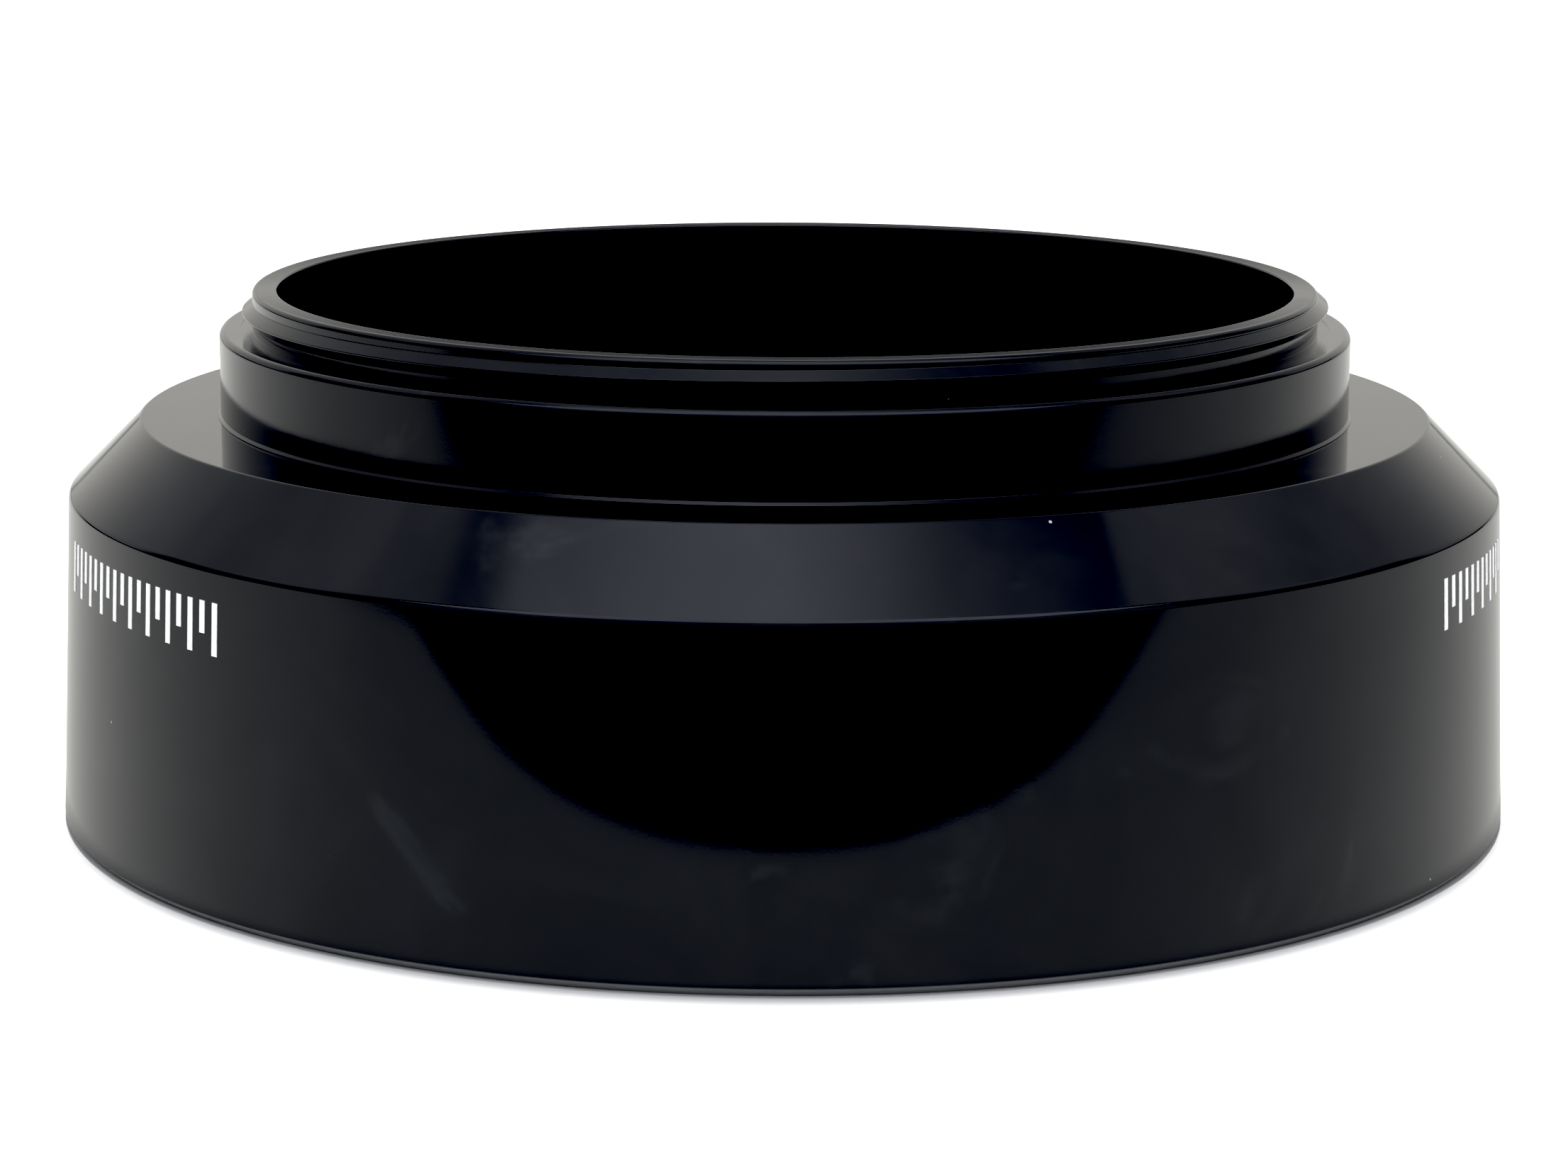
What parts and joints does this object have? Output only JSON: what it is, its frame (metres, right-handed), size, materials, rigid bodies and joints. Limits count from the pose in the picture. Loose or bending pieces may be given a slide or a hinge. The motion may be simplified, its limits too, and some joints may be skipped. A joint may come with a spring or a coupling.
{
  "type": "lens hood",
  "caption": "Round screw-in lens hood: a glossy shell with a sloping shoulder, carrying a threaded mount ring that screws into a lens's filter thread.",
  "frame": {"origin": "centre of the front rim, on the plane that the rim stands on", "axes": "+Z along the hood's axis, from the front rim towards the thread; -Y towards the viewer in the stored pose, with both of the thread's ends behind it"},
  "size_m": [0.0658, 0.0658, 0.0236],
  "materials": {
    "shell_plastic": "polished black moulding, matte and ribbed inside",
    "ring_plastic": "black moulding, slightly satin on its top faces, matte in its bore",
    "white_print": "pad-printed white ink"
  },
  "bodies": {
    "root": {"hood_shell": "shell_plastic", "mount_ring": "ring_plastic", "index_marks_left": "white_print", "index_marks_right": "white_print"}
  },
  "joints": []
}
